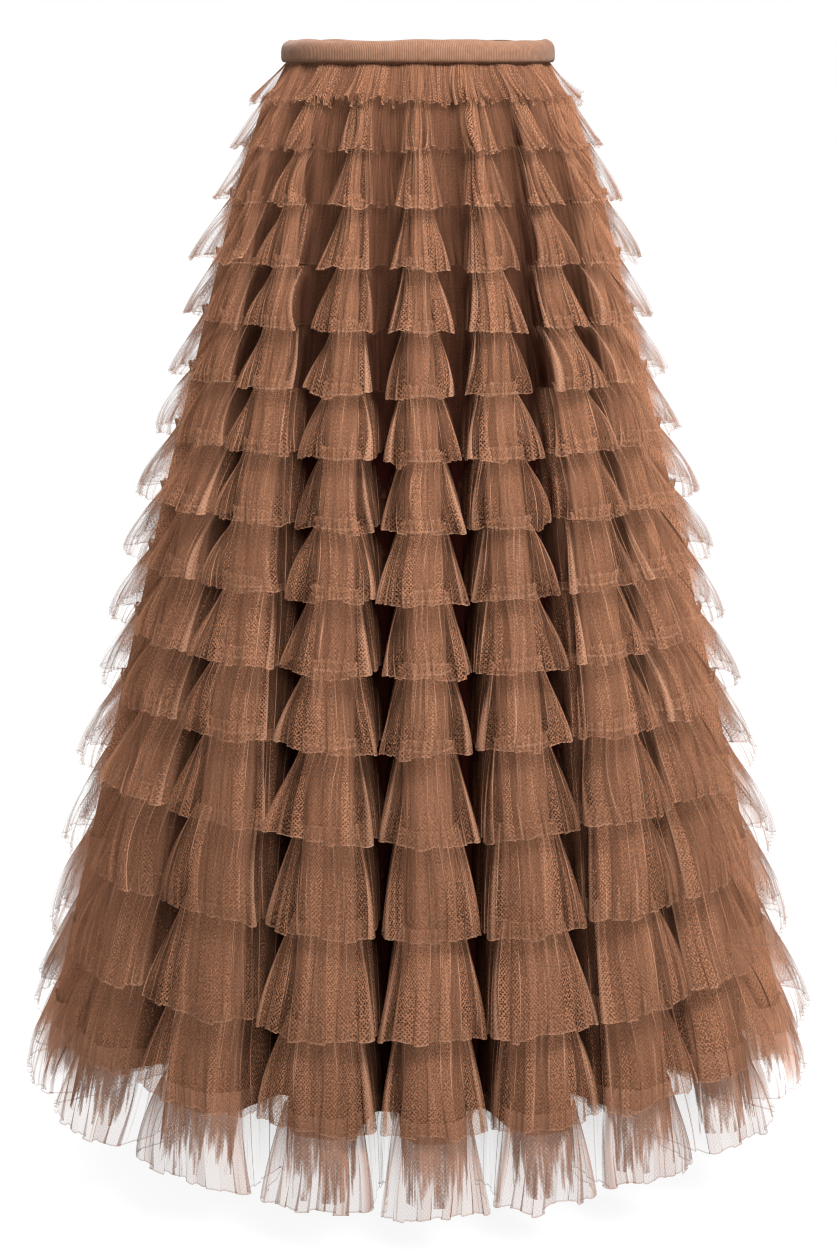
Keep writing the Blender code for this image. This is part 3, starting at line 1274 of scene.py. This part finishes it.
@dataclass(frozen=True)
class Underskirt:
    """The fluted cone of several layers of net that carries the ruffles.

    Attributes:
        top_drop: Where it is tucked behind the waistband.
        fringe_top: Where the frayed part starts.
        hem_drop: The level of its longest points.
        rows: The number of its levels down to the frayed part.
        fringe_rows: The number of levels below that.
        gather_height: How high its fine gathers stand.
        layers: How many layers of net lie over each other.
        cut: The height and the hem's length of the flared sheet that it is cut as.
        cut_area: That sheet's area, which narrows to the waist.
    """

    top_drop: float = 0.0065
    fringe_top: float = 0.911
    hem_drop: float = 0.978
    rows: int = 40
    fringe_rows: int = 5
    gather_height: float = 0.0008
    layers: float = 7.0
    cut: tuple[float, float] = (0.98, 4.40)
    cut_area: float = 2.50

    def build(self, form: SkirtForm, plan: FoldPlan) -> bpy.types.Object:
        """Makes the underskirt's cloth.

        Args:
            form: The skirt's form.
            plan: Its folds.

        Returns:
            The piece.
        """
        rng = np.random.default_rng(SEED)
        ring = FoldedRing(plan, len(form.flutes), rng)
        tall = rng.uniform(0.3, 1.3, ring.folds)[ring.fold]
        fringe = np.linspace(self.fringe_top, self.hem_drop, self.fringe_rows + 1)
        drops = np.append(np.linspace(self.top_drop, self.fringe_top, self.rows), fringe[1:])
        levels = ClothLevels(ring)
        for drop in drops:
            cone = ring.lay(form.underskirt_corners(drop), 1.0)
            depth = form.depth_at(cone, drop)
            edge = edge_shade(depth)
            # Shallow valleys near the waist catch some light.
            lit = 0.6 * ramp(drop, 0.36, -0.26) * ramp(depth, 0.6, 0.3)
            # At the very sides the ruffles are thin and this net shows through; it is painted
            # lighter there, with less valley shade.
            side = beside(cone)
            lift = self.gather_height * tall * (ring.wave - 0.5)
            level = cone + outward(cone)[1] * lift[:, None]
            frayed = max(0.0, drop - self.fringe_top) / (self.hem_drop - self.fringe_top)
            levels.add(
                level,
                form.heights(level, drop),
                layers=self.layers,
                # Painted light and shade on the folds, lighter where they stand out and at the
                # sides.
                tone=(0.9 + 0.2 * tall * (ring.wave - 0.5)) * (1 + 0.5 * side),
                # A painted highlight along each crest's corner.
                ridge=0.6 * np.exp(-(((depth - 0.25) / 0.025) ** 2)),
                # Painted valley shade, less in the lit valleys near the waist and at the sides.
                hollow=edge * (1 - lit) * (1 - 0.6 * side),
                crease=0.5,
                # The points in the valleys are short.
                fray=frayed * (1 + 3.0 * edge),
            )
        return levels.cloth("underskirt", by="fray", limit=0.0)

    def dress(
        self, cloth: bpy.types.Object, close: bpy.types.Material, frayed: bpy.types.Material
    ) -> None:
        """Gives the underskirt its finishes and its place in the model.

        Args:
            cloth: The underskirt.
            close: The finish of all but its fringe.
            frayed: The fringe's finish.
        """
        cloth.data.materials.append(close)
        cloth.data.materials.append(frayed)
        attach(cloth, BODY)
        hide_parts("underskirt")


@dataclass(frozen=True)
class Waistband:
    """The ribbed elastic round the waist.

    Attributes:
        half_width: Half of its width outside.
        half_depth: Half of its depth outside.
        height: Its height.
        profile: Its section up the outside, over the top and down the inside: heights above
            its middle, as shares of half its height, and how far in from the outside.
        waves: Its top edge's waves: how high, how many all round, and their phase.
        points: Points round it.
        tiles: The tiles of its baking map.
        cut: The height and length of the elastic, which is folded double.
    """

    half_width: float = 0.125
    half_depth: float = 0.093
    height: float = 0.020
    profile: tuple[tuple[float, float], ...] = (
        (-1.00, 0.0028), (-0.94, 0.0014), (-0.82, 0.0004), (-0.60, 0.0000),
        (0.00, 0.0000), (0.40, 0.0006), (0.65, 0.0020), (0.85, 0.0042),
        (0.96, 0.0066), (1.00, 0.0078), (0.96, 0.0090), (0.70, 0.0072),
        (0.30, 0.0040), (0.00, 0.0026), (-0.90, 0.0026), (-1.00, 0.0022),
    )
    waves: tuple[tuple[float, int, float], ...] = ((0.0007, 5, 0.6), (0.0004, 13, 2.0))
    points: int = 360
    tiles: int = 15
    cut: tuple[float, float] = (0.042, 0.67)

    def build(self) -> bpy.types.Object:
        """Makes the band as a closed shell, open only along its lower edge."""
        turns = np.arange(self.points) * math.tau / self.points
        wave = sum(high * np.sin(count * turns + phase) for high, count, phase in self.waves)
        half = self.height / 2
        rows = []
        for share, inward in reversed(self.profile):
            x = (self.half_width - inward) * np.sin(turns)
            y = -(self.half_depth - inward) * np.cos(turns)
            z = share * half + wave * (share * half + half) / self.height
            rows.append(np.column_stack([x, y, z]))
        tile = (turns // (math.tau / self.tiles)).astype(int)
        return cloth_mesh("waistband", np.stack(rows), tile, {})

    def dress(self, band: bpy.types.Object, elastic: bpy.types.Material) -> None:
        """Gives the band its finish and its place in the model.

        Args:
            band: The band.
            elastic: Its finish.
        """
        band.data.materials.append(elastic)
        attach(band, BODY)
        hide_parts("waistband")


# ---------------------------------------------------------------- studio


@dataclass(frozen=True)
class Lamp:
    """A large soft lamp that faces the middle of the skirt.

    Attributes:
        name: Its name.
        place: Where it stands.
        size: The side of its square.
        power: Its power, in watts.
        aim: Where it points.
    """

    name: str
    place: tuple[float, float, float]
    size: float
    power: float
    aim: tuple[float, float, float] = (0.0, 0.0, -0.5)

    def build(self) -> None:
        """Puts the lamp up."""
        data = bpy.data.lights.new(self.name, "AREA")
        data.size = self.size
        data.energy = self.power
        lamp = bpy.data.objects.new(self.name, data)
        lamp.location = self.place
        x, y, z = np.array(self.aim) - np.array(self.place)
        lamp.rotation_euler = (math.atan2(math.hypot(x, y), -z), 0.0, math.atan2(-x, y))
        bpy.context.scene.collection.objects.link(lamp)


@dataclass(frozen=True)
class Studio:
    """The pale floor, the soft light and the camera.

    Attributes:
        lamps: The lamps.
        surround_light: How bright the surround is as a light.
        floor_drop: How far the floor lies below the origin.
        floor_reach: How far it reaches to each side.
        floor_grey: How pale it is.
        floor_glow: How much it glows to the camera, so that it is as pale as the surround.
        distance: From the skirt's axis to the camera.
        camera_height: The camera's height above the origin.
        pitch: How far it looks down, in degrees.
        lens: Its focal length, in millimetres.
    """

    lamps: tuple[Lamp, ...] = (
        Lamp("key", (0.75, -1.45, 1.45), 1.0, 73.0),
        Lamp("back", (-0.8, 1.9, 1.3), 1.2, 40.0),
    )
    surround_light: float = 0.50
    floor_drop: float = 1.030
    floor_reach: float = 30.0
    floor_grey: float = 0.30
    floor_glow: float = 0.90
    distance: float = 3.06
    camera_height: float = 0.0055
    pitch: float = 10.0
    lens: float = 94.74

    def build(self) -> None:
        """Sets up the floor, the world, the lamps and the camera."""
        self.floor()
        self.world()
        for lamp in self.lamps:
            lamp.build()
        self.camera()

    def floor(self) -> None:
        """A wide, matt, pale floor."""
        reach, grey, height = self.floor_reach, self.floor_grey, -self.floor_drop
        corners = [(x * reach, y * reach, height) for x, y in ((-1, -1), (1, -1), (1, 1), (-1, 1))]
        mesh = bpy.data.meshes.new("floor")
        mesh.from_pydata(corners, [], [(0, 1, 2, 3)])
        floor = bpy.data.objects.new("floor", mesh)
        bpy.context.scene.collection.objects.link(floor)
        sketch = NodeSketch("pale_floor", roughness=0.9, specular=0.0)
        seen = sketch.add("ShaderNodeLightPath", {}).outputs["Is Camera Ray"]
        glow = sketch.math("MULTIPLY", seen, self.floor_glow)
        sketch.feed(sketch.shader, {"Emission Color": WHITE, "Emission Strength": glow})
        sketch.feed(sketch.shader, {"Base Color": (grey, grey, grey, 1.0)})
        mesh.materials.append(sketch.material)

    def world(self) -> None:
        """An even surround: white behind the skirt, and softer as a light on it."""
        world = bpy.data.worlds.new("surround")
        world.use_nodes = True
        nodes, links = world.node_tree.nodes, world.node_tree.links
        background = nodes["Background"]
        background.inputs["Color"].default_value = WHITE
        seen = nodes.new("ShaderNodeLightPath")
        strength = nodes.new("ShaderNodeMath")
        strength.operation = "MULTIPLY_ADD"
        links.new(seen.outputs["Is Camera Ray"], strength.inputs[0])
        strength.inputs[1].default_value = 1.0 - self.surround_light
        strength.inputs[2].default_value = self.surround_light
        links.new(strength.outputs[0], background.inputs["Strength"])
        bpy.context.scene.world = world

    def camera(self) -> None:
        """The camera in front of the waist, which looks down a little."""
        data = bpy.data.cameras.new("camera")
        data.lens = self.lens
        camera = bpy.data.objects.new("camera", data)
        camera.location = (0.0, -self.distance, self.camera_height)
        camera.rotation_euler = (math.radians(90 - self.pitch), 0.0, 0.0)
        bpy.context.scene.collection.objects.link(camera)
        bpy.context.scene.camera = camera


# ---------------------------------------------------------------- sizes

FORM = SkirtForm(
    # Drop, half width, half depth, flute depth, crest share and turn.
    sections=(
        Section(0.0065, 0.1176, 0.0856, 0.0016, 0.46, 0.0),
        Section(0.0110, 0.1176, 0.0856, 0.0020, 0.44, 0.0),
        Section(0.0500, 0.1430, 0.1130, 0.0085, 0.12, 0.8),
        Section(0.1300, 0.1690, 0.1470, 0.0230, 0.20, 1.6),
        Section(0.2000, 0.1859, 0.1679, 0.0309, 0.31, 2.3),
        Section(0.3000, 0.2099, 0.1977, 0.0422, 0.41, 3.2),
        Section(0.4000, 0.2340, 0.2275, 0.0535, 0.45, 4.2),
        Section(0.6200, 0.2817, 0.2779, 0.0677, 0.51, 3.4),
        Section(0.9350, 0.3500, 0.3500, 0.0880, 0.62, 2.2),
        Section(0.9810, 0.3600, 0.3605, 0.0910, 0.64, 2.0),
    ),
    # Azimuths at the waist, at the middle and at the hem, and fullness.
    flutes=(
        Flute(-165.0, -163.0, -163.0, 0.98),
        Flute(-139.0, -132.0, -131.0, 0.96),
        Flute(-113.0, -103.5, -102.0, 0.98),
        Flute(-88.0, -80.0, -78.5, 0.97),
        Flute(-63.5, -57.0, -57.5, 0.97),
        Flute(-42.0, -36.5, -34.0, 1.00),
        Flute(-20.8, -16.2, -13.0, 0.94),
        Flute(-0.3, 1.0, 2.4, 0.97),
        Flute(20.8, 18.1, 18.2, 0.97),
        Flute(39.0, 39.4, 34.2, 0.95),
        Flute(62.0, 58.0, 53.0, 0.96),
        Flute(88.0, 81.0, 76.5, 0.98),
        Flute(115.0, 104.0, 101.0, 0.97),
        Flute(140.0, 131.5, 129.5, 0.96),
        Flute(166.0, 162.0, 161.0, 0.99),
    ),
    # Across the crest, beyond it, and how far in when gathered and when open.
    stations=(
        Station(0.52, 0.00, 0.00, 0.00),
        Station(1.00, 0.00, 0.28, 0.13),
        Station(1.00, 0.32, 1.00, 1.00),
    ),
)

# Number, drops of stitch line and hem, flare, mouth share, heading, layers and strip.
RUFFLES = (
    Ruffle(1, 0.0110, 0.0435, 0.0105, 0.56, TUCKED, 2.2, 1.35, zigzag=0.0050),
    Ruffle(2, 0.0400, 0.0860, 0.0145, 0.50, None, 2.0, 1.40, zigzag=0.0025),
    Ruffle(3, 0.0825, 0.1325, 0.0175, 0.62, None, 1.8, 1.65, zigzag=0.0015),
    Ruffle(4, 0.1335, 0.1860, 0.0230, 0.76, FRILL, 1.8, 1.90),
    Ruffle(5, 0.1870, 0.2400, 0.0205, 0.80, FRILL, 1.7, 2.05),
    Ruffle(6, 0.2410, 0.2940, 0.0210, 0.86, FRILL, 1.55, 2.20),
    Ruffle(7, 0.2950, 0.3490, 0.0215, 0.92, FRILL, 1.45, 2.40),
    Ruffle(8, 0.3500, 0.4085, 0.0240, 0.96, FRILL, 1.45, 2.65),
    Ruffle(9, 0.4095, 0.4670, 0.0265, 1.00, FRILL, 1.45, 2.85),
    Ruffle(10, 0.4680, 0.5290, 0.0265, 1.00, FRILL, 1.45, 3.00),
    Ruffle(11, 0.5300, 0.5940, 0.0280, 1.00, FRILL, 1.5, 3.15),
    Ruffle(12, 0.5950, 0.6680, 0.0270, 1.00, FRILL, 1.5, 3.35),
    Ruffle(13, 0.6620, 0.7500, 0.0255, 1.00, None, 1.7, 3.70),
    Ruffle(14, 0.7440, 0.8340, 0.0245, 1.00, None, 1.9, 3.95),
    Ruffle(15, 0.8280, 0.9140, 0.0240, 1.00, None, 2.0, 4.15),
    Ruffle(16, 0.9060, 0.9810, 0.0130, 0.92, None, 0.8, 4.25, dense=5.0),
)

RUFFLE_FOLDS = FoldPlan(
    front_folds=6, wall_folds=2, front_share=0.46, uneven=0.45,
    front_points=14, wall_points=8, gathers=2.6,
)
UNDERSKIRT_FOLDS = FoldPlan(
    front_folds=10, wall_folds=5, front_share=0.46, uneven=0.5,
    front_points=6, wall_points=4, gathers=1.0,
)

TULLE = NetFinish(
    "camel_tulle", thread=(0.34, 0.155, 0.087), fold=(0.64, 0.340, 0.215),
    deep=(0.045, 0.012, 0.007), cover=0.19, contrast=1.3, grain=2.7,
)
CLOSE_NET = NetFinish(
    "close_net", thread=(0.30, 0.134, 0.075), fold=(0.47, 0.235, 0.142),
    deep=(0.019, 0.0042, 0.0032), cover=1.0, contrast=1.4, grain=4.0,
)
FRAYED_NET = NetFinish(
    "frayed_net", thread=(0.35, 0.160, 0.092), fold=(0.44, 0.215, 0.130),
    deep=(0.30, 0.135, 0.080), cover=0.26, contrast=0.6, grain=1.6, frayed=True,
)
HEM_NET = NetFinish(
    "sheer_hem_net", thread=(0.46, 0.225, 0.140), fold=(0.44, 0.215, 0.130),
    deep=(0.34, 0.160, 0.100), cover=0.24, contrast=0.6, grain=0.6,
)
ELASTIC = BandFinish(
    "ribbed_elastic", yarn=(0.42, 0.225, 0.140), groove_shade=(0.25, 0.120, 0.070), rib=0.0016
)


def report(piece: bpy.types.Object) -> None:
    """Logs a finished piece's name and size."""
    LOG.info("%s: %d faces", piece.name, len(piece.data.polygons))


def main() -> None:
    """Builds and dresses every piece, and sets up the studio."""
    logging.basicConfig(level=logging.INFO, format="%(name)s: %(message)s")
    bpy.context.scene.view_settings.view_transform = "Standard"
    # Fine net wants a sharp pixel, and light that goes through many layers.
    cycles = bpy.context.scene.cycles
    cycles.filter_width = 1.1
    cycles.max_bounces, cycles.diffuse_bounces, cycles.transparent_max_bounces = 4, 1, 12
    Studio().build()
    tulle, close, hem_net = TULLE.material(), CLOSE_NET.material(), HEM_NET.material()

    underskirt = Underskirt()
    cloth = underskirt.build(FORM, UNDERSKIRT_FOLDS)
    underskirt.dress(cloth, close, FRAYED_NET.material())
    report(cloth)
    for ruffle in RUFFLES:
        cloth = ruffle.build(FORM, RUFFLE_FOLDS)
        ruffle.dress(cloth, hem_net if ruffle is RUFFLES[-1] else tulle, close)
        report(cloth)
    waistband = Waistband()
    band = waistband.build()
    waistband.dress(band, ELASTIC.material())
    report(band)


if __name__ == "__main__":
    main()
